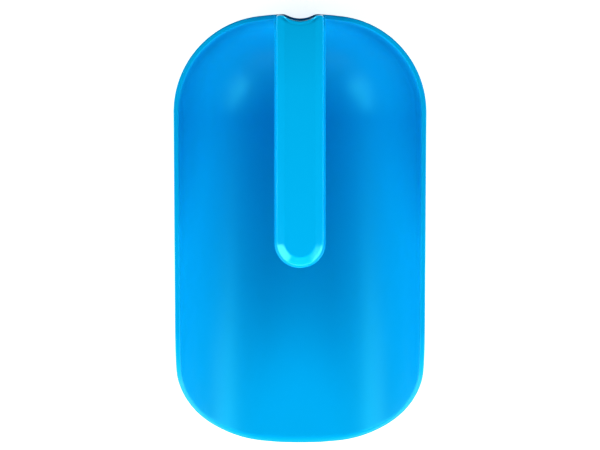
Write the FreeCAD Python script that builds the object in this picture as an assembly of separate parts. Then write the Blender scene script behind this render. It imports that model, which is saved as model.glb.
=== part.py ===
"""Open-mouthed feed scoop with an overhead handle, moulded in plastic.

Frame: millimetres, +Z up, the scooping lip at -Y and the handle's root at +Y. The origin is under the
middle of the scoop, on the surface that it stands on.

Three mouldings make the scoop:
  bowl                 a flat-bottomed trough with spherical rear corners and a beaded rim. A riser on its back
                       wall closes the handle's rear end, and a channel-shaped tang runs forward from the riser
  handle_lower_shell   the finger side of the hollow handle, with three posts; the rear one goes through the tang
  handle_upper_shell   the palm side, with shallow bevels and three sockets for the posts
A leaning half-round groove is scooped out of the back wall, the riser and the upper shell's end.
"""

import os

import FreeCAD
import Part
from math import asin, cos, degrees, radians, sin, sqrt, tan

V = FreeCAD.Vector

# Overall places
REAR_Y = 145.2  # outer edge of the rim at the back
LIP_Y = -145.2  # edge of the scooping lip
RIM_REAR_Z = 100.0  # top of the rim at the back
CEILING_Z = 150.0  # above everything; only used for cutting tools
TOOL_HALF = 120.0  # half the width of the cutting tools
REAR_SPARE = 5.0  # how far a bar or a hollow runs on past the end that cuts it off
SPLIT_SPARE = 8.0  # how far the upper shell's section runs on below the split that cuts it off

# Bowl wall
WALL = 2.4  # thickness of floor and walls
CORNER_R = 61.3  # outer radius of the spherical rear corners and of the trough's two long bends
DRAFT = radians(1.2)  # the walls lean outwards by this much
FLARE = radians(0.32)  # the sides open towards the mouth by this much
FLOOR_HALF = 19.9  # half the width of the flat floor at its rear end
CROWN_R = 159.0  # the floor's rear edge is an arc of this radius, and the back wall goes round with it
BEAD = 1.0  # how far the rim's bead stands out from the wall, level with it; it fades out under the lip
BEAD_DEEP = 5.0  # depth of the bead below the rim

# Rim in side view: a gentle slope, a bend, a steep mouth, a bend and a flatter land at the lip
RIM_SLOPE = radians(8.0)
MOUTH_SLOPE = radians(48.1)
LAND_SLOPE = radians(36.0)
LAND_TOP_Z = 2.4
RIM_BEND_R = 60.0
LIP_BEND_R = 100.0
LIP_CROWN_R = 285.0  # the lip's edge is an arc of this radius in plan

# Handle
HANDLE_TOP_Z = 118.0
SPLIT_Z = 106.0  # the plane where the two shells meet
HANDLE_FOOT_Z = 93.0
FLAT_HALF = 9.7  # half the width of the flat top
BEVEL_HALF = 14.9  # half width at the foot of the bevels
BEVEL_DROP = 2.4
UPPER_HALF = 15.7  # half width of the upper shell at the split
LOWER_HALF = 16.5  # half width of the lower shell at the split, so that it stands a little proud
LOWER_LEAN = 0.5  # the lower shell's side walls come in by this much towards the fingers
FINGER_R = 7.0
HANDLE_WALL = 2.4
TIP_Y = -19.8  # front end of the lower shell
TOP_FALL_Y = 92.0  # the top and its bevels start to fall here
TOP_FALL_R = 520.0  # radius of the fall in side view

# Handle's rear end, and the groove in it
END_LEAN = radians(5.5)
END_Y = REAR_Y - BEAD  # where the end meets the height of the rim
GROOVE_DEEP = 3.0
GROOVE_R = 17.0

# Riser, tang and posts
RISER_THICK = 6.0
TANG_HALF = 12.4
TANG_WALL = 2.6
TANG_FRONT_Y = 92.0
TANG_TOP_Z = 105.0
TANG_CHAMFER = 4.0
POST_YS = (108.0, 52.0, -2.0)
POST_R = 3.0
POST_TOP_Z = 110.0
SOCKET_CLEAR = 0.05
SOCKET_R = 5.2
TANG_HOLE_CLEAR = 0.2

WALL_TURN_Z = CORNER_R * (1 - sin(DRAFT))  # height where the round bend meets the straight wall
TOP_REACH = CORNER_R * cos(DRAFT) + (RIM_REAR_Z - WALL_TURN_Z) * tan(DRAFT)
CROWN_ANGLE = asin(FLOOR_HALF / CROWN_R)  # half the angle that the crown takes
CROWN_SAG = CROWN_R * (1 - cos(CROWN_ANGLE))
CORNER_Y = REAR_Y - BEAD - TOP_REACH - CROWN_SAG  # the rear corners turn about upright axes at this place
RISER_FRONT_Y = END_Y - RISER_THICK
TANG_FOOT_Z = HANDLE_FOOT_Z + HANDLE_WALL


def prism(points, direction):
    """A polygon face through the points, pushed along a direction."""
    wire = Part.makePolygon(list(points) + [points[0]])
    return Part.Face(wire).extrude(direction)


def box(x0, x1, y0, y1, z0, z1):
    """A box between two corners."""
    return Part.makeBox(x1 - x0, y1 - y0, z1 - z0, V(x0, y0, z0))


def upright(radius, x, y, z0, z1):
    """An upright cylinder."""
    return Part.makeCylinder(radius, z1 - z0, V(x, y, z0))


def placed(shape, x, y, turn):
    """A copy turned about the upright axis, by radians, and moved to x, y."""
    copy = shape.copy()
    copy.rotate(V(0, 0, 0), V(0, 0, 1), degrees(turn))
    copy.translate(V(x, y, 0))
    return copy


def rounded(points, radii):
    """Edges of an open line through (across, up) points, with an arc of the given radius at each inner one."""
    edges = []
    start = V(points[0][0], 0, points[0][1])
    for i in range(1, len(points) - 1):
        corner = V(points[i][0], 0, points[i][1])
        if radii[i - 1] == 0:
            edges.append(Part.makeLine(start, corner))
            start = corner
            continue
        back = (V(points[i - 1][0], 0, points[i - 1][1]) - corner).normalize()
        ahead = (V(points[i + 1][0], 0, points[i + 1][1]) - corner).normalize()
        half = back.getAngle(ahead) / 2
        run = radii[i - 1] / tan(half)
        middle = (back + ahead).normalize()
        into, out = corner + back * run, corner + ahead * run
        crown = corner + middle * (radii[i - 1] / sin(half) - radii[i - 1])
        edges.append(Part.makeLine(start, into))
        edges.append(Part.Arc(into, crown, out).toShape())
        start = out
    edges.append(Part.makeLine(start, V(points[-1][0], 0, points[-1][1])))
    return edges


def side_solid(edges, points, low):
    """What lies under a line of edges in side view (across is Y), down to low, as wide as the tools."""
    first, last = points[0], points[-1]
    closing = [
        Part.makeLine(V(last[0], 0, last[1]), V(last[0], 0, low)),
        Part.makeLine(V(last[0], 0, low), V(first[0], 0, low)),
        Part.makeLine(V(first[0], 0, low), V(first[0], 0, first[1])),
    ]
    solid = Part.Face(Part.Wire(edges + closing)).extrude(V(0, 2 * TOOL_HALF, 0))
    solid.rotate(V(0, 0, 0), V(0, 0, 1), 90)
    solid.translate(V(TOOL_HALF, 0, 0))
    return solid


# ---------------------------------------------------------------- bowl


def wall_face(inset, inner_x, bend_x):
    """Face from an upright line at inner_x to the wall, moved inwards by inset, whose bend starts at bend_x."""
    arc_r = CORNER_R - inset
    start = V(bend_x, 0, inset)
    mid = V(bend_x + arc_r * sin(radians(45)), 0, CORNER_R - arc_r * cos(radians(45)))
    end = V(bend_x + arc_r * cos(DRAFT), 0, CORNER_R - arc_r * sin(DRAFT))
    top = V(end.x + (CEILING_Z - end.z) * tan(DRAFT), 0, CEILING_Z)
    inner_top, inner_foot = V(inner_x, 0, CEILING_Z), V(inner_x, 0, inset)
    edges = [Part.Arc(start, mid, end).toShape(), Part.makeLine(end, top), Part.makeLine(top, inner_top)]
    edges.append(Part.makeLine(inner_top, inner_foot))
    if inner_x < bend_x:
        edges.append(Part.makeLine(inner_foot, start))
    return Part.Face(Part.Wire(edges))


def trough(inset=0.0, widen=0.0):
    """Everything inside the wall's outer surface, from the floor to the ceiling.

    The surface is moved inwards by inset, square to itself, or its walls are moved outwards by widen, level.
    """
    run = REAR_Y - LIP_Y  # well past the lip
    turn = radians(90) - CROWN_ANGLE - FLARE
    face = wall_face(inset, 0, widen)
    corner = face.revolve(V(0, 0, 0), V(0, 0, 1), degrees(turn))
    right_corner = placed(corner, FLOOR_HALF, CORNER_Y, FLARE)
    left_corner = placed(corner, -FLOOR_HALF, CORNER_Y, radians(90) + CROWN_ANGLE)
    crown_face = wall_face(inset, CROWN_R - 2 * CROWN_SAG, CROWN_R + widen)
    crown = crown_face.revolve(V(0, 0, 0), V(0, 0, 1), 2 * degrees(CROWN_ANGLE))
    back = placed(crown, 0, CORNER_Y + CROWN_SAG - CROWN_R, radians(90) - CROWN_ANGLE)
    ahead = V(sin(FLARE), -cos(FLARE), 0) * run
    right_side = placed(face, FLOOR_HALF, CORNER_Y, FLARE).extrude(ahead)
    left_side = placed(face, -FLOOR_HALF, CORNER_Y, radians(180) - FLARE).extrude(V(-ahead.x, ahead.y, 0))
    middle = prism(
        [
            V(-FLOOR_HALF, CORNER_Y, inset),
            V(FLOOR_HALF, CORNER_Y, inset),
            V(FLOOR_HALF + ahead.x, CORNER_Y + ahead.y, inset),
            V(-FLOOR_HALF - ahead.x, CORNER_Y + ahead.y, inset),
        ],
        V(0, 0, CEILING_Z - inset),
    )
    return back.multiFuse([right_corner, left_corner, right_side, left_side, middle]).removeSplitter()


def rim_points():
    """The rim's corner points in side view, as (y, z), and the radii at the inner ones."""
    mouth, slope = tan(MOUTH_SLOPE), tan(RIM_SLOPE)
    land_top = (LIP_Y + LAND_TOP_Z / tan(LAND_SLOPE), LAND_TOP_Z)
    bend_y = (RIM_REAR_Z - slope * REAR_Y - land_top[1] + mouth * land_top[0]) / (mouth - slope)
    bend = (bend_y, land_top[1] + mouth * (bend_y - land_top[0]))
    past = 20.0
    before = (LIP_Y - past, -past * tan(LAND_SLOPE))
    behind = (REAR_Y + past, RIM_REAR_Z + past * slope)
    return [before, land_top, bend, behind], [LIP_BEND_R, RIM_BEND_R]


def lowered(points, angles, by):
    """The side-view points moved square to their lines, downwards."""
    moved = [(points[0][0] + by * sin(angles[0]), points[0][1] - by * cos(angles[0]))]
    for i in range(1, len(points) - 1):
        half = (angles[i] - angles[i - 1]) / 2
        normal = (angles[i] + angles[i - 1]) / 2
        reach = by / cos(half)
        moved.append((points[i][0] + reach * sin(normal), points[i][1] - reach * cos(normal)))
    moved.append((points[-1][0] + by * sin(angles[-1]), points[-1][1] - by * cos(angles[-1])))
    return moved


def under_rim(by=0.0):
    """The solid of everything under the rim's line, which may be lowered square to itself."""
    points, radii = rim_points()
    points = lowered(points, [LAND_SLOPE, MOUTH_SLOPE, RIM_SLOPE], by)
    # lowering makes the hollow bend at the lip wider and the crowned bend of the rim tighter
    radii = [radii[0] + by, radii[1] - by]
    return side_solid(rounded(points, radii), points, -40.0)


def groove(grow=0.0):
    """The leaning round cutter that scoops out the handle's rear end and the wall under it."""
    radius = GROOVE_R + grow
    axis = V(0, -sin(END_LEAN), cos(END_LEAN))
    centre = V(0, END_Y - GROOVE_DEEP + GROOVE_R, RIM_REAR_Z)
    length = 200.0
    return Part.makeCylinder(radius, length, centre - axis * (length / 2), axis)


def behind_end():
    """The solid behind the handle's leaning rear end."""
    deep, tall = 60.0, 200.0
    slab = box(-TOOL_HALF, TOOL_HALF, 0, deep, -tall / 2, tall / 2)
    slab.rotate(V(0, 0, 0), V(1, 0, 0), degrees(END_LEAN))
    slab.translate(V(0, END_Y, RIM_REAR_Z))
    return slab


def riser():
    """The block between the back wall and the handle's shells, which closes the handle's rear end."""
    block = box(-LOWER_HALF, LOWER_HALF, RISER_FRONT_Y, REAR_Y, HANDLE_FOOT_Z, SPLIT_Z)
    return block.cut(behind_end())


def tang():
    """The channel that runs forward from the riser inside the handle, open on top."""
    foot, half, cut = TANG_FOOT_Z, TANG_HALF, TANG_CHAMFER
    inner = half - TANG_WALL
    inner_foot = foot + TANG_WALL
    right = [(half - cut, foot), (half, foot + cut), (half, TANG_TOP_Z)]
    right += [(inner, TANG_TOP_Z), (inner, foot + cut + TANG_WALL / 2), (inner - cut + TANG_WALL / 2, inner_foot)]
    outline = [V(x, TANG_FRONT_Y, z) for x, z in right] + [V(-x, TANG_FRONT_Y, z) for x, z in reversed(right)]
    channel = prism(outline, V(0, RISER_FRONT_Y - TANG_FRONT_Y, 0))
    hole = upright(POST_R + TANG_HOLE_CLEAR, 0, POST_YS[0], foot - 1, inner_foot + 1)
    return channel.cut(hole)


def bowl():
    """The trough's shell with its bead, riser, tang and groove."""
    band = under_rim().cut(under_rim(BEAD_DEEP))
    outer = trough().fuse(trough(widen=BEAD).common(band))
    hollow = trough(inset=WALL).cut(groove(WALL))
    lip = upright(LIP_CROWN_R, 0, LIP_Y + LIP_CROWN_R, -1, CEILING_Z)
    shell = outer.cut(hollow).common(under_rim()).common(lip)
    whole = shell.multiFuse([riser(), tang()])
    return whole.cut(groove()).removeSplitter()


# ---------------------------------------------------------------- handle


def half_face(points, radii):
    """The face of a half section that goes from the handle's axis round to the axis again."""
    edges = rounded(points, radii)
    first, last = points[0], points[-1]
    edges.append(Part.makeLine(V(last[0], 0, last[1]), V(first[0], 0, first[1])))
    return Part.Face(Part.Wire(edges))


def bar(face, rear):
    """A bar with a half-round front end, made from the face of its half section."""
    centre_y = TIP_Y + LOWER_HALF
    nose = placed(face.revolve(V(0, 0, 0), V(0, 0, 1), -180), 0, centre_y, 0)
    right = placed(face, 0, centre_y, 0).extrude(V(0, rear - centre_y, 0))
    left = placed(face, 0, centre_y, radians(180)).extrude(V(0, rear - centre_y, 0))
    return nose.multiFuse([right, left]).removeSplitter()


def upper_section(inset):
    """Half section of the upper shell, moved inwards by inset: flat top, shallow bevel, leaning side.

    It goes on below the split by SPLIT_SPARE, so that it still reaches the split where the handle falls.
    """
    across = BEVEL_HALF - FLAT_HALF
    slant = sqrt(across**2 + BEVEL_DROP**2)
    flat_in = inset * (slant - across) / BEVEL_DROP
    side_in = inset * (slant - BEVEL_DROP) / across
    side_lean = (UPPER_HALF - BEVEL_HALF) / (HANDLE_TOP_Z - BEVEL_DROP - SPLIT_Z)
    points = [
        (0, HANDLE_TOP_Z - inset),
        (FLAT_HALF - flat_in, HANDLE_TOP_Z - inset),
        (BEVEL_HALF - inset, HANDLE_TOP_Z - BEVEL_DROP - side_in),
        (UPPER_HALF + side_lean * SPLIT_SPARE - inset, SPLIT_Z - SPLIT_SPARE),
        (0, SPLIT_Z - SPLIT_SPARE),
    ]
    return half_face(points, [1.5, 1.5, 0.0])


def lower_section(inset):
    """Half section of the lower shell, moved inwards by inset: leaning side, round finger edge, flat underside."""
    points = [
        (0, SPLIT_Z),
        (LOWER_HALF - inset, SPLIT_Z),
        (LOWER_HALF - LOWER_LEAN - inset, HANDLE_FOOT_Z + inset),
        (0, HANDLE_FOOT_Z + inset),
    ]
    return half_face(points, [0.0, FINGER_R - inset])


def cap_bar(inset):
    """The upper shell's bar, moved inwards by inset and cut off at the split: level, then falling along an arc."""
    face = upper_section(inset)
    axis_place = V(0, TOP_FALL_Y, HANDLE_TOP_Z - TOP_FALL_R)
    turn = degrees(asin((REAR_Y + REAR_SPARE - TOP_FALL_Y) / TOP_FALL_R))
    halves = [placed(face, 0, TOP_FALL_Y, side) for side in (0, radians(180))]
    falling = [half.revolve(axis_place, V(-1, 0, 0), turn) for half in halves]
    whole = bar(face, TOP_FALL_Y).multiFuse(falling).removeSplitter()
    return whole.common(box(-TOOL_HALF, TOOL_HALF, -TOOL_HALF, REAR_Y + 2 * REAR_SPARE, SPLIT_Z, CEILING_Z))


def handle_upper_shell():
    """The palm side: a bevelled cap, closed at both ends, with three sockets under it."""
    inner_end = END_Y - GROOVE_DEEP - HANDLE_WALL - (HANDLE_TOP_Z - RIM_REAR_Z) * tan(END_LEAN)
    inside = box(-TOOL_HALF, TOOL_HALF, -TOOL_HALF, inner_end, 0, CEILING_Z)
    hollow = cap_bar(HANDLE_WALL).common(inside)
    foot = TANG_FOOT_Z + TANG_WALL
    roof = HANDLE_TOP_Z - HANDLE_WALL / 2
    cap = cap_bar(0).cut(hollow).fuse([upright(SOCKET_R, 0, y, foot, roof) for y in POST_YS])
    for y in POST_YS:
        cap = cap.cut(upright(POST_R + SOCKET_CLEAR, 0, y, foot - 1, POST_TOP_Z + 0.5))
    return cap.cut(behind_end()).cut(groove()).removeSplitter()


def handle_lower_shell():
    """The finger side: a round-edged tray, open to the riser at the back, with three posts."""
    hollow = bar(lower_section(HANDLE_WALL), RISER_FRONT_Y + REAR_SPARE)
    tray = bar(lower_section(0), RISER_FRONT_Y).cut(hollow)
    foot = HANDLE_FOOT_Z + HANDLE_WALL / 2
    posts = [upright(POST_R, 0, y, foot, POST_TOP_Z) for y in POST_YS]
    return tray.fuse(posts).removeSplitter()


def main():
    """Builds each moulding and writes its STEP file."""
    os.makedirs("parts", exist_ok=True)
    nodes = {
        "bowl": bowl(),
        "handle_lower_shell": handle_lower_shell(),
        "handle_upper_shell": handle_upper_shell(),
    }
    for name, shape in nodes.items():
        solids = shape.Solids
        print(name, "solids", len(solids), "valid", shape.isValid(), "cm3", round(shape.Volume / 1000, 2))
        solids[0].exportStep(f"parts/{name}.step")
    return nodes


main()
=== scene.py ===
"""Visual model of a moulded plastic feed scoop: a beaded trough with a steep rounded mouth, and a hollow
handle of two shells that runs forward over it from a riser on the back wall.

Shapes are worked out in millimetres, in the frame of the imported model, and become metres in the mesh.
"""

import logging
import math
from dataclasses import dataclass, field
from enum import Enum
from typing import Any

import bmesh
import bpy
import numpy as np
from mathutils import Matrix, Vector


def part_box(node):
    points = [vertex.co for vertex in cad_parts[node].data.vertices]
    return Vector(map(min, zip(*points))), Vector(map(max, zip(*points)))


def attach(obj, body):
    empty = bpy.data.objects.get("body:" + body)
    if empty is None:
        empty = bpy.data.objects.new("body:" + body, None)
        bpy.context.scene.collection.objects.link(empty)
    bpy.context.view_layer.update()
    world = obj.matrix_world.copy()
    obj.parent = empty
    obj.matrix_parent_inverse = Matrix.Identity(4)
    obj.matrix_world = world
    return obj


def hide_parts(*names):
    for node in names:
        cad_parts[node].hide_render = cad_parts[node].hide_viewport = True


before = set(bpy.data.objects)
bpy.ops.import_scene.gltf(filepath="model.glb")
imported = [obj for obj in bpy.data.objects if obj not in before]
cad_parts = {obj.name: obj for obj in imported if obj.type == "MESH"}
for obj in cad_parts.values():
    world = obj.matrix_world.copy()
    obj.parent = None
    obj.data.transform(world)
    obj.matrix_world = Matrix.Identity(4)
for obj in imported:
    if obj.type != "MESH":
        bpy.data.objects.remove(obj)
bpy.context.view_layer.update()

MM = 0.001
BODY = "root"
WELD = 1e-6  # points nearer than this, in metres, become one point

log = logging.getLogger("scoop")

Array = np.ndarray
Triple = tuple[float, float, float]
MIRROR = np.array([-1.0, 1.0, 1.0])  # turns the right half into the left half


class Node(Enum):
    """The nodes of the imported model."""

    BOWL = "bowl"
    UPPER = "handle_upper_shell"
    LOWER = "handle_lower_shell"

    def box(self) -> tuple[Array, Array]:
        """Lowest and highest corner at rest, in millimetres."""
        low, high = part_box(self.value)
        return np.array(low) / MM, np.array(high) / MM


class Slot(Enum):
    """The record's material slots."""

    BOWL = "bowl"
    HANDLE = "handle"


# ---------------------------------------------------------------- curves and surfaces


def smooth_max(a: Array, b: Array | float, width: float) -> Array:
    """The greater of two values, with the corner between them rounded.

    Formula: half of (a + b + root of ((a - b) squared + width squared)).

    Args:
        a: first values.
        b: second values.
        width: how wide the rounding is, in the values' unit.

    Returns:
        The rounded maximum.
    """
    return 0.5 * (a + b + np.sqrt((a - b) ** 2 + width**2))


def smooth_step(x: Array, start: float, end: float) -> Array:
    """0 before start, 1 after end, and the cubic 3t^2 - 2t^3 between them; start may be above end.

    Args:
        x: where to take it.
        start: the last place where it is 0.
        end: the first place where it is 1.

    Returns:
        The step's values.
    """
    t = np.clip((x - start) / (end - start), 0.0, 1.0)
    return t * t * (3.0 - 2.0 * t)


def unit(v: Array) -> Array:
    """Vectors along the last axis, brought to length 1; a vector of no length stays so."""
    length = np.linalg.norm(v, axis=-1, keepdims=True)
    return v / np.where(length > 1e-12, length, 1.0)


def rounded(corners: Array, trims: Array, runs: list[int], bend: int) -> Array:
    """Lines through corner points, with a circle's arc in place of each inner corner.

    The arc leaves the line one trim before the corner and joins it one trim after. With B and A for its two
    ends, O for its centre and w for its angle, it is O + (sin((1-t)w) (B-O) + sin(tw) (A-O)) / sin(w).

    Args:
        corners: shape (corners, lines, dimensions).
        trims: shape (corners, lines) or (corners, 1); the first and last are not used.
        runs: the number of steps on each straight run, one fewer than there are corners.
        bend: the number of steps round each corner.

    Returns:
        Points of shape (lines, points, dimensions).
    """
    t = np.linspace(0, 1, bend, endpoint=False)[:, None, None]
    parts, start = [], corners[0]
    for i in range(1, len(corners) - 1):
        back, ahead = unit(corners[i - 1] - corners[i]), unit(corners[i + 1] - corners[i])
        trim = np.broadcast_to(trims[i], back.shape[:1])[:, None]
        half = np.arccos(np.clip((back * ahead).sum(-1), -1, 1 - 1e-9))[:, None] / 2
        centre = corners[i] + unit(back + ahead) * trim / np.cos(half)
        before, after = corners[i] + back * trim, corners[i] + ahead * trim
        turn = np.maximum(math.pi - 2 * half, 1e-4)
        arc = np.sin((1 - t) * turn) * (before - centre) + np.sin(t * turn) * (after - centre)
        along = np.linspace(0, 1, runs[i - 1], endpoint=False)[:, None, None]
        parts += [start + (before - start) * along, centre + arc / np.sin(turn)]
        start = after
    along = np.linspace(0, 1, runs[-1] + 1)[:, None, None]
    parts.append(start + (corners[-1] - start) * along)
    return np.concatenate(parts).transpose(1, 0, 2)


def mirrored(half: Array) -> Array:
    """Rows for the right half, from the middle plane round to it again, and then the left half back.

    Args:
        half: shape (rows, columns, 3); the first and last row lie in the middle plane.

    Returns:
        A closed ring of rows, whose last row goes on to the first.
    """
    return np.concatenate([half, half[-2:0:-1] * MIRROR])


@dataclass
class Skin:
    """Grids of points, in millimetres, that together close a surface."""

    points: list[Array] = field(default_factory=list)
    faces: list[Array] = field(default_factory=list)
    count: int = 0

    def grid(self, points: Array, ring: bool = False, tube: bool = False) -> Array:
        """Adds a grid of four-sided faces.

        Args:
            points: shape (rows, columns, 3).
            ring: the last row goes on to the first.
            tube: the last column goes on to the first.

        Returns:
            The points' numbers, of shape (rows, columns).
        """
        rows, columns = points.shape[:2]
        number = np.arange(rows * columns).reshape(rows, columns) + self.count
        self.points.append(points.reshape(-1, 3))
        self.count += rows * columns
        full = np.concatenate([number, number[:1]], axis=0) if ring else number
        self.patch(np.concatenate([full, full[:, :1]], axis=1) if tube else full)
        return number

    def patch(self, number: Array) -> None:
        """Adds four-sided faces between points that are there already.

        Args:
            number: the points' numbers, of shape (rows, columns).
        """
        corners = [number[:-1, :-1], number[1:, :-1], number[1:, 1:], number[:-1, 1:]]
        self.faces.append(np.stack([c.ravel() for c in corners], axis=1))

    def mesh(self, name: str) -> bpy.types.Mesh:
        """Welds the grids, with every face turned outwards and shaded smooth.

        Args:
            name: the mesh's name.

        Returns:
            The mesh, in metres.
        """
        mesh = bpy.data.meshes.new(name)
        mesh.from_pydata(np.concatenate(self.points) * MM, [], np.concatenate(self.faces))
        work = bmesh.new()
        work.from_mesh(mesh)
        bmesh.ops.remove_doubles(work, verts=work.verts, dist=WELD)
        bmesh.ops.dissolve_degenerate(work, edges=work.edges, dist=WELD)
        bmesh.ops.recalc_face_normals(work, faces=work.faces)
        work.to_mesh(mesh)
        work.free()
        mesh.polygons.foreach_set("use_smooth", np.ones(len(mesh.polygons), bool))
        return mesh


def turned(profile: Array, x: float, y: float, steps: int, loop: bool) -> Array:
    """A profile turned about an upright axis.

    Formula: a profile point (r, z) goes to (x + r cos t, y + r sin t, z) for t from 0 to a full turn.

    Args:
        profile: shape (points, 2).
        x: the axis's place.
        y: the axis's place.
        steps: the number of steps round the axis.
        loop: the profile is closed, and its first point is repeated at its end.

    Returns:
        A closed ring of rows.
    """
    t = np.linspace(0, 2 * math.pi, steps, endpoint=False)[:, None]
    line = np.concatenate([profile, profile[:1]]) if loop else profile
    radius, height = line.T
    height = np.broadcast_to(height, (steps, len(line)))
    return np.stack([x + radius * np.cos(t), y + radius * np.sin(t), height], axis=-1)


@dataclass(frozen=True)
class Piece:
    """A named piece of the visual model."""

    name: str
    node: Node
    slot: Slot

    def make(self, skins: list[Skin], material: bpy.types.Material) -> bpy.types.Object:
        """Joins closed skins into one object and hands it to the frame.

        Args:
            skins: the closed surfaces.
            material: the finish.

        Returns:
            The new object.
        """
        whole = bmesh.new()
        for skin in skins:
            part = skin.mesh(self.name)
            whole.from_mesh(part)
            bpy.data.meshes.remove(part)
        mesh = bpy.data.meshes.new(self.name)
        whole.to_mesh(mesh)
        whole.free()
        mesh.materials.append(material)
        piece = bpy.data.objects.new(self.name, mesh)
        bpy.context.scene.collection.objects.link(piece)
        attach(piece, BODY)
        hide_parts(self.node.value)
        log.info("%s: %d points, %d faces", self.name, len(mesh.vertices), len(mesh.polygons))
        return piece


# ---------------------------------------------------------------- shapes shared by the mouldings


@dataclass(frozen=True)
class RearEnd:
    """The handle's leaning rear end, and the round groove scooped out of it and of the back wall."""

    rim_z: float = 100.0  # height of the trough's rim at the rear
    end_y: float = 144.2  # where the plane stands at that height
    lean: float = math.radians(5.5)
    deep: float = 2.3  # the groove's depth
    ledge: float = 1.6  # the groove is this much deeper in the cap than in the riser
    radius: float = 17.0
    soft: float = 0.7  # how softly the groove's edges are rounded

    def plane_y(self, z: Array) -> Array:
        """The end's place at a height: it leans forward going up."""
        return self.end_y - (z - self.rim_z) * math.tan(self.lean)

    def depth(self, x: Array, y: Array, z: Array, extra: float = 0.0) -> Array:
        """How far the groove moves a surface forward.

        Formula: the surface's y less the groove's y, where that is above 0, with the edge rounded. The
        groove's y is the end plane less deep and extra, plus the sagitta of a circle of the groove's radius.

        Args:
            x: places across.
            y: the surface's place, which may differ from the place of the point that is moved.
            z: heights.
            extra: added to the groove's depth.

        Returns:
            Distances, 0 or more.
        """
        sagitta = self.radius - np.sqrt(np.clip(self.radius**2 - x**2, 0, None))
        groove_y = self.plane_y(z) - self.deep - extra + sagitta
        rest = 0.5 * (np.sqrt(self.radius**2 + self.soft**2) - self.radius)
        depth = smooth_max(y - groove_y, 0.0, self.soft) - rest
        return np.clip(depth, 0, None) * smooth_step(np.abs(x), self.radius, 0.75 * self.radius)


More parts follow.
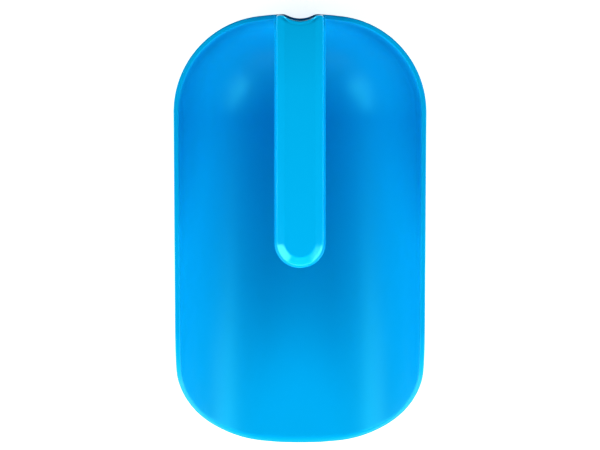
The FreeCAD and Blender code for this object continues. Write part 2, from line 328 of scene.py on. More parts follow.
@dataclass
class Bowl:
    """The trough with its beaded rim, and the riser and tang that carry the handle.

    The wall is a section carried along the edge of a flat floor: flat, then a bend of bend_r, then straight
    and leaning outwards by draft. The floor's edge has straight sides that open by flare, and its rear is an
    arc of crown_r. Thickness, bead and the rim's rounding are a second section, across the wall.
    """

    end: RearEnd
    wall: float = 2.4
    bend_r: float = 61.3
    draft: float = math.radians(1.2)
    flare: float = math.radians(0.32)
    floor_half: float = 19.9  # half width of the flat floor at its rear corners
    crown_r: float = 159.0
    bead: float = 1.0  # how far the bead stands out of the wall
    bead_deep: float = 5.0  # how far it reaches down from the rim
    bead_foot: float = 0.5  # the bead's underside slopes back to the wall over this much
    edge_trim: float = 0.85  # rounding of the rim's edges
    lip_trim: float = 2.5  # rounding of the lip's inner edge
    rim_slope: float = math.radians(8.0)  # the rim's slope in side view, then the mouth's, then the lip's
    mouth_slope: float = math.radians(48.1)
    land_slope: float = math.radians(36.0)
    rim_bend_r: float = 60.0  # radius of the bend from rim to mouth, then from mouth to lip
    lip_bend_r: float = 100.0
    lip_crown: float = 6.4e-5  # the lip's edge in plan is this times x cubed
    lip_soft: float = 1.2  # how softly the mouth's line runs into the lip's edge
    lip_reach: float = 0.28  # the rounding takes this much off the lip's edge
    lip_dip: float = 0.2  # how fast the mouth's line runs on below the lip's edge, in plan
    hub_span: tuple[float, float] = (25.0, 140.0)  # the ribs meet the middle line between these places
    rib_step: float = 1.4  # distance between ribs along the rim
    rim_deep: float = 11.0  # the part of a rib that holds the rim's own section
    wall_steps: int = 38
    floor_steps: int = 8

    def __post_init__(self) -> None:
        """Works out the floor's rear corner from the bowl's box."""
        self.lip_y = float(Node.BOWL.box()[0][1])
        self.rear_y = self.end.end_y + self.bead
        self.bend_length = self.bend_r * (math.pi / 2 - self.draft)
        self.turn_z = self.bend_r * (1 - math.sin(self.draft))
        self.crown = math.asin(self.floor_half / self.crown_r)
        self.sag = self.crown_r * (1 - math.cos(self.crown))
        top_reach = self.section(self.length_at(np.array(self.end.rim_z)))[0]
        self.pivot = np.array([self.floor_half, self.end.end_y - float(top_reach) - self.sag])

    def section(self, s: Array) -> tuple[Array, Array, Array]:
        """The wall's outer section.

        Formula: for a length s along it from the floor's edge, the angle is s over bend_r, held between 0
        and a right angle less the draft. Reach and height are bend_r times its sine and 1 less its cosine,
        and what is left of s goes on along the tangent, so a negative s is on the flat floor.

        Args:
            s: length along the section.

        Returns:
            Reach out from the floor's edge, height, and the angle of the wall's slope.
        """
        bent = np.clip(s, 0, self.bend_length)
        angle, rest = bent / self.bend_r, s - bent
        reach = self.bend_r * np.sin(angle) + rest * np.cos(angle)
        return reach, self.bend_r * (1 - np.cos(angle)) + rest * np.sin(angle), angle

    def length_at(self, z: Array) -> Array:
        """Length along the section at a height: the inverse of section's height."""
        bent = self.bend_r * np.arccos(np.clip(1 - z / self.bend_r, -1, 1))
        return np.where(z < self.turn_z, bent, self.bend_length + (z - self.turn_z) / math.cos(self.draft))

    def side_line(self) -> tuple[Array, Array]:
        """The rim in side view: straight, arc, straight, arc, straight, from behind the back to the lip.

        Returns:
            Points (y, z) from the rear to the lip, and the slope at each.
        """
        mouth, slope, land = math.tan(self.mouth_slope), math.tan(self.rim_slope), math.tan(self.land_slope)
        land_y, land_z = self.lip_y + self.wall / land, self.wall
        bend_y = (self.end.rim_z - slope * self.rear_y - land_z + mouth * land_y) / (mouth - slope)
        past = 20.0  # how far the line runs on behind the rear and before the lip
        corners = [
            (self.rear_y + past, self.end.rim_z + past * slope),
            (bend_y, land_z + mouth * (bend_y - land_y)),
            (land_y, land_z),
            (self.lip_y - past, land_z - (past + land_y - self.lip_y) * land),
        ]
        trims = [0, self.rim_bend_r * math.tan((self.mouth_slope - self.rim_slope) / 2)]
        trims += [self.lip_bend_r * math.tan((self.mouth_slope - self.land_slope) / 2), 0]
        points, reaches = np.array(corners)[:, None], np.array(trims)[:, None]
        line = rounded(points, reaches, runs=[900, 900, 200], bend=400)[0]
        run = np.gradient(line, axis=0)
        return line, np.arctan2(-run[:, 1], -run[:, 0])

    def stations(self) -> dict[str, Array]:
        """The right half of the rim, from the middle of the back to the middle of the lip, evenly spaced.

        A station has a base on the floor's edge, a level direction out and one ahead (none at the rear), its
        place (ahead, along the section) and the rim's slope in side view.

        Returns:
            base, out, ahead of shape (n, 2); place of shape (n, 2); slope of shape (n,).
        """
        line, slopes = self.side_line()
        corner_turn = np.linspace(self.crown, math.pi / 2 - self.flare, 1500)[1:-1]
        turn = np.concatenate([np.linspace(0, self.crown, 400), corner_turn])
        out = np.column_stack([np.sin(turn), np.cos(turn)])
        crown_centre = self.pivot + [-self.floor_half, self.sag - self.crown_r]
        base = np.where((turn < self.crown)[:, None], crown_centre + self.crown_r * out, self.pivot)
        z = np.full(len(turn), self.end.rim_z)
        for _ in range(8):
            reach = self.section(self.length_at(z))[0]
            z = np.interp(-(base[:, 1] + out[:, 1] * reach), -line[:, 0], line[:, 1])
        rear = {"base": base, "out": out, "ahead": np.zeros_like(out)}
        rear["place"] = np.column_stack([np.zeros(len(turn)), self.length_at(z)])
        rear["slope"] = np.full(len(turn), self.rim_slope)

        side_out = np.array([math.cos(self.flare), math.sin(self.flare)])
        side_ahead = np.array([side_out[1], -side_out[0]])
        tip_s = -(self.pivot[0] + (self.pivot[1] - self.lip_y) * math.tan(self.flare))
        start_z = np.interp(-(self.pivot[1] + side_out[1] * self.bend_r), -line[:, 0], line[:, 1])
        s = np.linspace(float(self.length_at(start_z)), tip_s, 4000)
        reach, z, _ = self.section(s)
        y = np.interp(-z, -line[:, 1], line[:, 0]) + self.lip_dip * np.clip(s, None, 0)
        ahead = (self.pivot[1] + side_out[1] * reach - y) / side_out[0]
        for _ in range(4):
            x = self.pivot[0] + side_ahead[0] * ahead + side_out[0] * reach
            lip = self.lip_y - self.lip_reach + self.lip_crown * np.abs(x) ** 3
            ahead = (self.pivot[1] + side_out[1] * reach - smooth_max(y, lip, self.lip_soft)) / side_out[0]
        ahead = np.clip(ahead, 0, None)
        side = {"base": np.tile(self.pivot, (len(s), 1)), "out": np.tile(side_out, (len(s), 1))}
        side["ahead"] = np.tile(side_ahead, (len(s), 1))
        side["place"] = np.column_stack([ahead, s])
        side["slope"] = np.interp(-y, -line[:, 0], slopes)

        whole = {key: np.concatenate([rear[key], side[key]]) for key in rear}
        rim = self.surface(whole, whole["place"][:, None])[0][:, 0]
        length = np.concatenate([[0], np.cumsum(np.linalg.norm(np.diff(rim, axis=0), axis=1))])
        even = np.linspace(0, length[-1], int(length[-1] / self.rib_step) + 1)
        picked = np.searchsorted(length, even).clip(0, len(length) - 1)
        return {key: value[picked] for key, value in whole.items()}

    def surface(self, at: dict[str, Array], place: Array) -> tuple[Array, Array]:
        """The wall's and floor's outer surface.

        Formula: base + ahead * w + out * reach(s), at height(s); the normal is out * sin(angle), less
        cos(angle) upwards.

        Args:
            at: the stations.
            place: (w, s) on each rib, of shape (stations, points, 2).

        Returns:
            Points and outward normals, each of shape (stations, points, 3).
        """
        reach, height, angle = self.section(place[..., 1:])
        flat = at["base"][:, None] + at["ahead"][:, None] * place[..., :1] + at["out"][:, None] * reach
        normal = at["out"][:, None] * np.sin(angle)
        return np.concatenate([flat, height], -1), np.concatenate([normal, -np.cos(angle)], -1)

    def rim_sections(self, at: dict[str, Array], way: Array) -> Array:
        """The rim's own section at each station: inner wall, cut, bead, outer wall.

        It is drawn as (distance down the rib, distance out along the normal). The cut is level across the
        scoop, so it slants by -(N.C)/(R.C), with N the wall's normal, R the rib's direction and C the cut's.

        Args:
            at: the stations.
            way: each rib's direction in (ahead, along the section).

        Returns:
            Shape (stations, points, 2).
        """
        place = at["place"][:, None]
        point, normal = self.surface(at, place)
        step = 0.01  # small, for a difference
        ribward = unit((self.surface(at, place + step * way[:, None])[0] - point)[:, 0])
        normal, point = normal[:, 0], point[:, 0]
        cut = np.column_stack([np.zeros(len(place)), -np.sin(at["slope"]), np.cos(at["slope"])])
        slant = -(normal * cut).sum(-1) / (ribward * cut).sum(-1)
        tangent = unit(np.gradient(point, axis=0))
        square = np.clip(np.abs((np.cross(normal, tangent) * ribward).sum(-1)), 0.5, 1)
        upright = np.linalg.norm(normal[:, :2], axis=-1)
        bead, deep, far = self.bead * upright, self.bead_deep / square, np.full(len(place), self.rim_deep)
        none = np.zeros(len(place))
        corners = [
            (far, none - self.wall),
            (-slant * self.wall, none - self.wall),
            (slant * bead, bead),
            (deep, bead),
            (deep + self.bead_foot * bead + 0.02, none),
            (far, none),
        ]
        inner_trim = self.edge_trim + (self.lip_trim - self.edge_trim) * (1 - upright) ** 2
        outer_trim = self.edge_trim * (0.4 + 0.6 * upright)
        foot_trim = 0.4 * bead + 0.004  # not 0 where there is no bead
        trims = np.stack([none, inner_trim, outer_trim, foot_trim, foot_trim, none])
        return rounded(np.stack([np.stack(c, -1) for c in corners]), trims, runs=[5, 3, 4, 1, 5], bend=6)

    def trough(self) -> Skin:
        """The trough as one closed surface.

        Each station carries a rib: from the rim down the wall, and on over the floor to the middle line. A
        grid runs up the inner side of the ribs, over the rim's section and down the outer side. At the mouth
        the ribs fan out, straight on the unrolled wall, from one place on the middle line.

        Returns:
            The closed skin.
        """
        at = self.stations()
        place = at["place"]
        hub_w = np.clip(place[:, 0], *self.hub_span)
        hub_s = -(self.pivot[0] / math.cos(self.flare) + hub_w * math.tan(self.flare))
        hub_y = self.pivot[1] - hub_w * math.cos(self.flare) + hub_s * math.sin(self.flare)
        fan = place[:, 0] > self.hub_span[1]
        first = int(np.argmax(fan)) - 1
        share = place[first, 1] / (place[first, 1] - hub_s[first])
        hub_place = np.column_stack([hub_w, hub_s])
        foot = np.where(fan[:, None], place + share * (hub_place - place), place * [1, 0])
        way = unit(foot - place)

        section = self.rim_sections(at, way)
        down = np.linspace(0, 1, self.wall_steps + 1)[1:]
        far_place = place + way * self.rim_deep
        wall_place = far_place[:, None] + (foot - far_place)[:, None] * down[:, None]
        rim_place = place[:, None] + way[:, None] * section[..., :1]
        rib_place = np.concatenate([wall_place[:, ::-1], rim_place, wall_place], axis=1)
        sheer = np.zeros(wall_place.shape[:2])
        offset = np.concatenate([sheer - self.wall, section[..., 1], sheer], axis=1)[..., None]
        base, normal = self.surface(at, rib_place)
        points = base + normal * offset
        reference_y = base[..., 1] + np.clip(offset[..., 0], 0, None)
        points[..., 1] -= self.end.depth(points[..., 0], reference_y, points[..., 2])

        across = np.linspace(0, 1, self.floor_steps + 1)[1:][None, :, None]
        hub = np.column_stack([np.zeros(len(hub_y)), hub_y, np.zeros(len(hub_y))])[:, None]
        lift = np.array([0, 0, self.wall])
        under = points[:, -1:] + (hub - points[:, -1:]) * across
        above = points[:, :1] + (hub + lift - points[:, :1]) * across
        half = np.concatenate([above[:, ::-1], points, under], axis=1)
        half[[0, -1], :, 0] = 0
        skin = Skin()
        skin.grid(mirrored(half), ring=True)
        return skin


@dataclass
class Handle:
    """The hollow handle: a round-edged tray under a bevelled cap, closed by the bowl's riser."""

    end: RearEnd
    half: float = 16.5  # half width of the tray at the split
    lean: float = 0.5  # the tray's sides come in by this much towards the fingers
    finger_r: float = 7.0  # rounding of the tray's lower edges, under the fingers
    wall: float = 2.4
    cap_half: float = 15.7  # half width of the cap at the split
    bevel_half: float = 14.9  # half width of the cap at the bevels' outer edges
    flat_half: float = 9.7
    bevel_drop: float = 2.4
    fall_y: float = 92.0  # the cap's top falls away behind this place, on a circle of fall_r
    fall_r: float = 520.0
    edge: float = 0.45  # rounding of the edges at the split
    rear_corner: float = 1.6  # rounding of the cap's rear corners, in plan
    crease_gap: float = 2.6  # the flat's crease ends this far short of the rear
    hub_gap: float = 12.0  # the top's middle line ends this far short of the crease's end
    groove_fade: tuple[float, float] = (11.0, 1.0)  # where the groove starts and is full, before the rear
    post_ys: tuple[float, ...] = (108.0, 52.0, -2.0)
    post_r: float = 3.0
    post_top: float = 110.0
    socket_r: float = 5.2
    socket_clear: float = 0.05
    socket_room: float = 0.5  # between a post's end and the bottom of its bore
    tang_half: float = 12.4
    tang_wall: float = 2.6
    tang_front: float = 92.0
    tang_top: float = 105.0
    tang_cut: float = 4.0
    side_steps: int = 90

    def __post_init__(self) -> None:
        """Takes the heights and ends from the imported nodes' boxes."""
        low, high = Node.LOWER.box()
        self.foot_z, self.tip_y, self.riser_y = float(low[2]), float(low[1]), float(high[1])
        self.top_z = float(Node.UPPER.box()[1][2])
        self.split_z = float(Node.BOWL.box()[1][2])
        self.nose_y = self.tip_y + self.half

    def top(self, y: Array) -> Array:
        """The top's height: level, then an arc of fall_r behind fall_y."""
        past = np.clip(y - self.fall_y, 0, None)
        return self.top_z - (self.fall_r - np.sqrt(self.fall_r**2 - past**2))

    def outline(self, half: float, rear: float) -> Array:
        """The right half of a bar's outline in plan, from the tip round the nose to the middle of the rear.

        Args:
            half: half the width.
            rear: where the bar ends.

        Returns:
            Shape (points, 2).
        """
        corners = [(0, self.nose_y - half), (half, self.nose_y - half), (half, rear), (0, rear)]
        trims = np.array([0, half, self.rear_corner, 0])[:, None]
        return rounded(np.array(corners, float)[:, None], trims, runs=[1, self.side_steps, 18], bend=22)[0]

    def level(self, half: float, rear_z: float, z: Array | float, short: float = 0.0) -> Array:
        """One ring of a shell that ends in the leaning plane.

        Args:
            half: half the width.
            rear_z: the height at which the leaning plane is met.
            z: heights, one for all points or one for each.
            short: how far short of the plane it stops.

        Returns:
            Shape (points, 3).
        """
        plan = self.outline(half, float(self.end.plane_y(rear_z)) - short)
        return np.column_stack([plan, np.broadcast_to(z, len(plan))])

    def bevelled(self, half: float, rear_z: float, sink: float = 0.0, short: float = 0.0) -> Array:
        """A ring on the cap's top, flat in the middle and falling along the bevels.

        Args:
            half: half the width.
            rear_z: the height at which the leaning plane is met.
            sink: how far under the top it lies.
            short: how far short of the plane it stops.

        Returns:
            Shape (points, 3).
        """
        ring = self.level(half, rear_z, 0.0, short)
        nose = np.hypot(ring[:, 0], ring[:, 1] - self.nose_y)
        out = np.where(ring[:, 1] < self.nose_y, nose, ring[:, 0])
        slope = self.bevel_drop / (self.bevel_half - self.flat_half)
        ring[:, 2] = self.top(ring[:, 1]) - sink - slope * np.clip(out - self.flat_half, 0, None)
        return ring

    def hub(self, ring: Array, z: Array, reach: float) -> Array:
        """The places on the middle line that a ring's ribs start from.

        Args:
            ring: the ring.
            z: heights there.
            reach: how far ahead of the ring's rear the middle line ends.

        Returns:
            Shape (points, 3).
        """
        rear = ring[-1, 1]
        span = (rear - reach - self.nose_y) / (rear - self.nose_y)
        y = self.nose_y + np.clip(ring[:, 1] - self.nose_y, 0, None) * span
        return np.column_stack([np.zeros(len(ring)), y, np.broadcast_to(z, len(ring))])

    def cap(self) -> Skin:
        """The cap's closed surface: its rings, from the middle of the top over the side to the roof inside.

        The groove moves the rear forward, and the top's height then follows its new place.

        Returns:
            The closed skin.
        """
        rear = float(self.end.plane_y(self.top_z))
        inner_short = self.end.deep + self.wall
        outer = self.bevelled(self.bevel_half, self.top_z)
        crease = self.bevelled(self.flat_half, self.top_z, short=self.crease_gap)
        inner = self.bevelled(self.bevel_half - self.wall, self.top_z, self.wall, inner_short)
        crease_short = inner_short + 1.0
        inner_crease = self.bevelled(self.flat_half - 0.5, self.top_z, self.wall, crease_short)
        rings = [
            self.hub(crease, self.top(crease[:, 1]), self.hub_gap),
            crease,
            outer,
            self.level(self.cap_half, self.split_z, self.split_z),
            self.level(self.cap_half - self.wall, self.top_z, self.split_z, inner_short),
            inner,
            inner_crease,
            self.hub(inner_crease, self.top(inner_crease[:, 1]) - self.wall, self.hub_gap),
        ]
        trims = np.array([0, 0.5, 0.7, 0.3, 0.3, 0.8, 0.4, 0])[:, None]
        flat_steps = 7
        half = rounded(np.stack(rings), trims, runs=[flat_steps, 4, 5, 2, 4, 3, 4], bend=6)
        fade = smooth_step(half[..., 1], rear - self.groove_fade[0], rear - self.groove_fade[1])
        surface = self.end.plane_y(half[..., 2])
        before = self.top(half[..., 1])
        share = np.clip((half[..., 2] - self.split_z) / (before - self.split_z), 0, 1)
        half[..., 1] -= fade * self.end.depth(half[..., 0], surface, half[..., 2], self.end.ledge)
        half[..., 2] += share * (self.top(half[..., 1]) - before)
        half[:, : flat_steps + 1, 2] = self.top(half[:, : flat_steps + 1, 1])
        half[[0, -1], :, 0] = 0
        skin = Skin()
        skin.grid(mirrored(half), ring=True)
        return skin

    def tray(self) -> Skin:
        """The tray's closed surface, open upwards and cut square where it meets the riser.

        Returns:
            The closed skin.
        """
        foot, split, t = self.foot_z, self.split_z, self.wall
        levels = [
            (self.half - self.lean, foot),
            (self.half, split),
            (self.half - t, split),
            (self.half - self.lean - t, foot + t),
        ]
        side_y = np.linspace(self.nose_y, self.riser_y, self.side_steps)
        angle = np.linspace(-math.pi / 2, 0, 28)[:-1, None]
        rings = []
        for half, z in levels:
            nose = np.hstack([half * np.cos(angle), self.nose_y + half * np.sin(angle)])
            side = np.column_stack([np.full(self.side_steps, half), side_y])
            plan = np.concatenate([nose, side])
            rings.append(np.column_stack([plan, np.full(len(plan), z)]))
        hub = np.column_stack([np.zeros(len(rings[0])), np.clip(rings[0][:, 1], self.nose_y, None)])
        under = np.column_stack([hub, np.full(len(hub), foot)])
        floor = np.column_stack([hub, np.full(len(hub), foot + t)])
        trims = np.array([0, self.finger_r, self.edge, self.edge, self.finger_r - t, 0])[:, None]
        # an even number of points, so that the ends close in pairs
        half = rounded(np.stack([under, *rings, floor]), trims, runs=[6, 5, 3, 5, 6], bend=10)
        half[0, :, 0] = 0
        skin = Skin()
        number = skin.grid(np.concatenate([half[:0:-1] * MIRROR, half]))
        middle = number.shape[1] // 2
        for row in (number[0], number[-1]):
            skin.patch(np.stack([row[:middle], row[::-1][:middle]]))
        return skin

    def posts(self) -> list[Skin]:
        """The tray's three posts, each a turned pin with a small chamfer.

        Returns:
            One closed skin for each.
        """
        z0, z1, r, cut = self.foot_z + self.wall / 2, self.post_top, self.post_r, 0.5
        profile = np.array([(0, z0), (r, z0), (r, z1 - cut), (r - cut, z1), (0, z1)], float)
        skins = []
        for y in self.post_ys:
            skin = Skin()
            skin.grid(turned(profile, 0, y, 40, loop=False), ring=True)
            skins.append(skin)
        return skins

    def sockets(self) -> list[Skin]:
        """The cap's three sockets, each a turned tube that reaches up into its roof.

        Returns:
            One closed skin for each.
        """
        z0, z1 = self.foot_z + self.wall + self.tang_wall, self.top_z - self.wall / 2
        r, bore, cut = self.socket_r, self.post_r + self.socket_clear, 0.3
        roof = self.post_top + self.socket_room
        profile = np.array([(bore, z0 + cut), (bore + cut, z0), (r - cut, z0), (r, z0 + cut)], float)
        skins = []
        for y in self.post_ys:
            top = float(self.top(np.array(y))) - self.top_z + z1
            closed = np.concatenate([profile, [(r, top), (0, top), (0, roof), (bore, roof)]])
            skin = Skin()
            skin.grid(turned(closed, 0, y, 40, loop=True), ring=True)
            skins.append(skin)
        return skins

    def riser(self) -> Skin:
        """The block behind the tray, with the tray's section, whose rear face leans and has the groove.

        Returns:
            The closed skin.
        """
        top, foot = self.split_z, self.foot_z
        corners = [(0, top), (self.half, top), (self.half - self.lean, foot), (0, foot)]
        trims = np.array([0, self.edge, self.finger_r, 0])[:, None]
        line = rounded(np.array(corners, float)[:, None], trims, runs=[16, 6, 8], bend=10)[0]
        loop = np.concatenate([line, line[-2:0:-1] * [-1, 1]])
        middle = np.array([0, (top + foot) / 2])
        # how far out from the middle, and how far back from the tray to the rear plane
        shares = [(0.0, 0.0), (0.5, 0.0), (0.99, 0.0), (1.0, 0.06), (1.0, 0.5), (1.0, 0.9), (0.97, 1.0)]
        shares += [(s, 1.0) for s in np.linspace(0.92, 0, 14)]
        rows = []
        for share, back in shares:
            flat = middle + (loop - middle) * share
            plane = self.end.plane_y(flat[:, 1])
            groove = self.end.depth(flat[:, 0], plane, flat[:, 1])
            fade = smooth_step(np.full(len(flat), back), 0.0, 0.9)
            y = self.riser_y + (plane - self.riser_y) * back - fade * groove
            rows.append(np.column_stack([flat[:, 0], y, flat[:, 1]]))
        skin = Skin()
        skin.grid(np.stack(rows), tube=True)
        return skin

    def tang(self) -> Skin:
        """The channel that runs forward from the riser inside the tray.

        Returns:
            The closed skin.
        """
        foot, top, t = self.foot_z + self.wall, self.tang_top, self.tang_wall
        outer, inner, cut = self.tang_half, self.tang_half - t, self.tang_cut
        right = [(0, foot), (outer - cut, foot), (outer, foot + cut), (outer, top), (inner, top)]
        right += [(inner, foot + cut + t / 2), (inner - cut + t / 2, foot + t), (0, foot + t)]
        trims = np.array([0, 0.5, 0.5, 0.2, 0.2, 0.5, 0.5, 0])[:, None]
        line = rounded(np.array(right, float)[:, None], trims, runs=[3, 1, 3, 1, 3, 1, 3], bend=4)[0]
        into_riser = 1.0
        ys = np.linspace(self.tang_front, self.riser_y + into_riser, 12)[:, None]
        rows = np.stack(np.broadcast_arrays(line[:, 0], ys, line[:, 1]), axis=-1)
        skin = Skin()
        number = skin.grid(np.concatenate([rows, rows[:, ::-1] * MIRROR], axis=1), tube=True)
        count = len(line)
        for row in (number[0], number[-1]):
            for half in (row[:count], row[count:]):
                skin.patch(np.stack([half[: count // 2], half[::-1][: count // 2]]))
        return skin


# ---------------------------------------------------------------- finishes


class Tree:
    """A node tree being written: one method makes any node, and Sock does the maths."""

    def __init__(self, tree: bpy.types.NodeTree) -> None:
        """Starts from an empty tree."""
        self.tree = tree
        tree.nodes.clear()

    def node(self, kind: str, settings: dict[str, Any] | None = None, **inputs: Any) -> bpy.types.Node:
        """Makes a node.

        Args:
            kind: the node's type.
            settings: its properties, set before the sockets; stops holds (place, value) pairs for a ramp.
            inputs: its sockets by name, with _ for a space, or by number as i0, i1; a value or a Sock.

        Returns:
            The node.
        """
        node = self.tree.nodes.new(kind)
        for key, value in (settings or {}).items():
            if key == "stops":
                self.set_stops(node.color_ramp, value)
            else:
                setattr(node, key, value)
        for key, value in inputs.items():
            number = key[1:]
            socket = node.inputs[int(number) if number.isdigit() else key.replace("_", " ")]
            if isinstance(value, Sock):
                self.tree.links.new(value.socket, socket)
            else:
                socket.default_value = value
        return node

    def set_stops(self, ramp: bpy.types.ColorRamp, stops: tuple[tuple[float, float], ...]) -> None:
        """Gives a ramp grey stops.

        Args:
            ramp: the ramp.
            stops: a place and a value for each.
        """
        while len(ramp.elements) < len(stops):
            ramp.elements.new(0.5)
        for element, (place, value) in zip(ramp.elements, stops):
            element.position = place
            element.color = (value, value, value, 1.0)

    def out(
        self, kind: str, name: str | int, settings: dict[str, Any] | None = None, **inputs: Any
    ) -> "Sock":
        """Makes a node as node does, and wraps the output of that name or number."""
        return Sock(self, self.node(kind, settings, **inputs).outputs[name])

    def ramp(self, value: "Sock", *stops: tuple[float, float]) -> "Sock":
        """Sends a value through a ramp with these stops."""
        return self.out("ShaderNodeValToRGB", 0, {"stops": stops}, Fac=value)


@dataclass(frozen=True)
class Sock:
    """An output with Python's operators for numbers: each adds a Math node."""

    tree: Tree
    socket: bpy.types.NodeSocket

    def math(self, operation: str, *others: Any) -> "Sock":
        """Adds a Math node with this socket first."""
        inputs = {f"i{i}": value for i, value in enumerate((self, *others))}
        return self.tree.out("ShaderNodeMath", 0, {"operation": operation}, **inputs)

    def __add__(self, other: Any) -> "Sock":
        """The sum."""
        return self.math("ADD", other)

    __radd__ = __add__

    def __mul__(self, other: Any) -> "Sock":
        """The product."""
        return self.math("MULTIPLY", other)

    __rmul__ = __mul__

    def __sub__(self, other: Any) -> "Sock":
        """The difference."""
        return self.math("SUBTRACT", other)

    def __rsub__(self, other: Any) -> "Sock":
        """The difference, with this socket last."""
        return (self * -1.0) + other


@dataclass(frozen=True)
class MouldedPlastic:
    """Glossy blue polypropylene: pigment that flowed in the mould, a fine grain and light wear."""

    name: str
    colour: Triple
    flow_colour: Triple  # where the pigment flowed thicker
    roughness: float = 0.3
    grain: float = 0.006  # depth of the grain, in millimetres
    grain_size: float = 0.9  # in millimetres
    wave: float = 0.03  # depth of the slow unevenness, in millimetres
    flow_size: float = 55.0  # size of the flow marks, in millimetres
    scuff: float = 0.12  # how much rougher the scratches are
    scratch_deep: float = 0.01  # in millimetres
    scratch_size: float = 2.2  # distance between scratches, in millimetres
    specular: float = 0.5
    gleam: Triple = (0.15, 1.0, 1.0)  # tint of its reflections

    def material(self) -> bpy.types.Material:
        """Builds the material.

        Returns:
            The new material.
        """
        material = bpy.data.materials.new(self.name)
        material.use_nodes = True
        tree = Tree(material.node_tree)
        where = tree.out("ShaderNodeTexCoord", "Object")
        along = tree.out("ShaderNodeMapping", 0, Vector=where, Scale=(1.0, 0.45, 1.0))
        flow = self.noise(tree, along, self.flow_size, detail=3.0, distortion=1.2)
        cloud = self.noise(tree, where, self.flow_size / 6, detail=4.0)
        grain = self.noise(tree, where, self.grain_size, detail=2.0)
        wave = self.noise(tree, where, self.flow_size / 4, detail=1.0)
        askew = tree.out("ShaderNodeMapping", 0, Vector=where, Scale=(1.0, 0.06, 1.0), Rotation=(0, 0, 0.12))
        scratch = self.noise(tree, askew, self.scratch_size, detail=3.0)
        lines = tree.ramp(scratch, (0.0, 0.0), (0.62, 0.0), (0.7, 1.0))
        worn = lines * tree.ramp(cloud, (0.0, 0.0), (0.45, 0.0), (0.7, 1.0))

        colours = {"i6": (*self.colour, 1.0), "i7": (*self.flow_colour, 1.0)}
        colour = tree.out("ShaderNodeMix", 2, {"data_type": "RGBA"}, i0=flow * 0.7 + cloud * 0.3, **colours)
        rough = (cloud - 0.5) * 0.08 + worn * self.scuff + self.roughness
        height = grain * (self.grain * MM) + wave * (self.wave * MM) - worn * (self.scratch_deep * MM)
        bump = tree.out("ShaderNodeBump", 0, Height=height, Strength=1.0, Distance=1.0)
        shader = tree.out(
            "ShaderNodeBsdfPrincipled",
            0,
            Base_Color=colour,
            Roughness=rough,
            Normal=bump,
            IOR=1.49,
            Specular_IOR_Level=self.specular,
            Specular_Tint=(*self.gleam, 1.0),
        )
        tree.node("ShaderNodeOutputMaterial", Surface=shader)
        return material

    def noise(self, tree: Tree, place: Sock, size: float, detail: float, distortion: float = 0.0) -> Sock:
        """Noise whose features are about size millimetres across.

        Args:
            tree: the material's tree.
            place: coordinates in metres.
            size: size of the features, in millimetres.
            detail: octaves.
            distortion: how much it is warped.

        Returns:
            Values around a half.
        """
        settings = {"Scale": 1 / (size * MM), "Detail": detail, "Distortion": distortion}
        return tree.out("ShaderNodeTexNoise", 0, Vector=place, **settings)


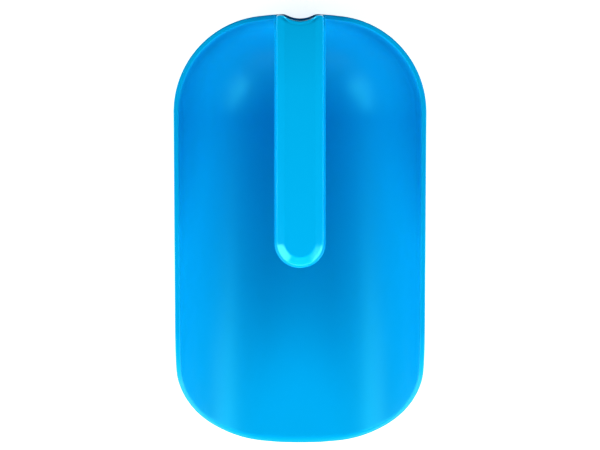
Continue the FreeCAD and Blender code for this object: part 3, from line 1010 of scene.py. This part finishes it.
@dataclass(frozen=True)
class Studio:
    """White floor, dome, two soft boxes and the camera above. Lengths here are in metres."""

    camera_height: float = 1.3
    camera_y: float = 0.0078
    lens: float = 110.9  # in millimetres, as the sensor's width is
    sensor: float = 36.0
    floor_size: float = 6.0
    floor_z: float = -0.0003
    floor_colour: Triple = (0.9, 0.9, 0.9)
    floor_glow: float = 0.58
    dome: float = 0.04
    front_glow: float = 1.2  # how bright the dome is straight in front of the mouth
    box_way: Triple = (0.74, -0.468, 0.475)  # towards the right box
    box_tilt: float = 0.03  # the left box is this much higher than the right one, and the right one lower
    box_distance: float = 1.3
    box_size: tuple[float, float] = (0.92, 0.74)
    box_radiance: float = 9.1

    def build(self) -> None:
        """Makes the floor, the lights, the dome and the camera."""
        self.floor()
        self.world()
        for side in (-1, 1):
            self.soft_box(side)
        self.camera()
        view = bpy.context.scene.view_settings
        view.view_transform = "Standard"
        view.look = "None"

    def floor(self) -> None:
        """A pale floor that glows a little, so that shadows on it stay faint."""
        half = self.floor_size / 2
        mesh = bpy.data.meshes.new("floor")
        corners = [(-half, -half), (half, -half), (half, half), (-half, half)]
        mesh.from_pydata([(x, y, self.floor_z) for x, y in corners], [], [(0, 1, 2, 3)])
        material = bpy.data.materials.new("pale_floor")
        material.use_nodes = True
        tree = Tree(material.node_tree)
        shader = tree.out(
            "ShaderNodeBsdfPrincipled",
            0,
            Base_Color=(*self.floor_colour, 1),
            Roughness=0.9,
            Emission_Color=(1, 1, 1, 1),
            Emission_Strength=self.floor_glow,
            Specular_IOR_Level=0.0,
        )
        tree.node("ShaderNodeOutputMaterial", Surface=shader)
        mesh.materials.append(material)
        floor = bpy.data.objects.new("floor", mesh)
        bpy.context.scene.collection.objects.link(floor)

    def world(self) -> None:
        """A dim dome that is dimmer at the horizon, and a glow in front: the fourth power of -y."""
        world = bpy.data.worlds.new("dome")
        world.use_nodes = True
        bpy.context.scene.world = world
        tree = Tree(world.node_tree)
        way = tree.out("ShaderNodeTexCoord", "Generated")
        height = tree.out("ShaderNodeSeparateXYZ", 2, Vector=way)
        ahead = tree.out("ShaderNodeSeparateXYZ", 1, Vector=way) * -1.0
        front = ahead.math("MAXIMUM", 0.0).math("POWER", 4.0)
        strength = tree.ramp(height, (0.0, 0.6), (0.35, 1.0)) * self.dome + front * self.front_glow
        back = tree.out("ShaderNodeBackground", 0, Color=(1, 1, 1, 1), Strength=strength)
        tree.node("ShaderNodeOutputWorld", Surface=back)

    def soft_box(self, side: int) -> None:
        """A rectangular soft box that faces the middle of the scoop.

        Args:
            side: 1 on the right, -1 on the left.
        """
        light = bpy.data.lights.new("soft_box", "AREA")
        light.shape = "RECTANGLE"
        light.size, light.size_y = self.box_size
        light.energy = self.box_radiance * math.pi * self.box_size[0] * self.box_size[1]
        height = self.box_way[2] - side * self.box_tilt
        way = Vector((side * self.box_way[0], self.box_way[1], height)).normalized()
        lamp = bpy.data.objects.new("soft_box", light)
        lamp.location = way * self.box_distance
        lamp.rotation_euler = way.to_track_quat("Z", "Y").to_euler()
        bpy.context.scene.collection.objects.link(lamp)

    def camera(self) -> None:
        """A long lens that looks straight down, with the scoop's rear upwards."""
        camera = bpy.data.cameras.new("camera")
        camera.lens, camera.sensor_width = self.lens, self.sensor
        eye = bpy.data.objects.new("camera", camera)
        eye.location = (0, self.camera_y, self.camera_height)
        bpy.context.scene.collection.objects.link(eye)
        bpy.context.scene.camera = eye


def main() -> None:
    """Builds the stage and then each moulding."""
    logging.basicConfig(level=logging.INFO, format="%(name)s: %(message)s")
    Studio().build()
    # Painted shade: the bowl and the grip are one plastic, and the bowl's darker colour stands in for the
    # shade inside the trough.
    blue = MouldedPlastic(
        "scoop_blue_painted_shade",
        colour=(0.0, 0.34, 0.70),
        flow_colour=(0.0, 0.355, 0.73),
        roughness=0.33,
        specular=0.34,
        gleam=(0.03, 1.0, 1.0),
    )
    # Painted light: the grip's lighter colour stands in for the handle's top being lit more fully than the
    # inside of the trough.
    grip_painted_light = MouldedPlastic(
        "grip_blue_painted_light",
        colour=(0.0, 0.485, 0.95),
        flow_colour=(0.0, 0.51, 0.98),
        roughness=0.14,
        scuff=0.06,
        specular=0.8,
    )
    end = RearEnd()
    bowl, handle = Bowl(end), Handle(end)
    bowl_finish_painted_shade, grip_finish_painted_light = blue.material(), grip_painted_light.material()
    Piece("bowl_trough", Node.BOWL, Slot.BOWL).make([bowl.trough()], bowl_finish_painted_shade)
    Piece("bowl_tang", Node.BOWL, Slot.BOWL).make([handle.riser(), handle.tang()], bowl_finish_painted_shade)
    Piece("lower_shell", Node.LOWER, Slot.HANDLE).make([handle.tray(), *handle.posts()], grip_finish_painted_light)
    Piece("upper_shell", Node.UPPER, Slot.HANDLE).make([handle.cap(), *handle.sockets()], grip_finish_painted_light)


if __name__ == "__main__":
    main()
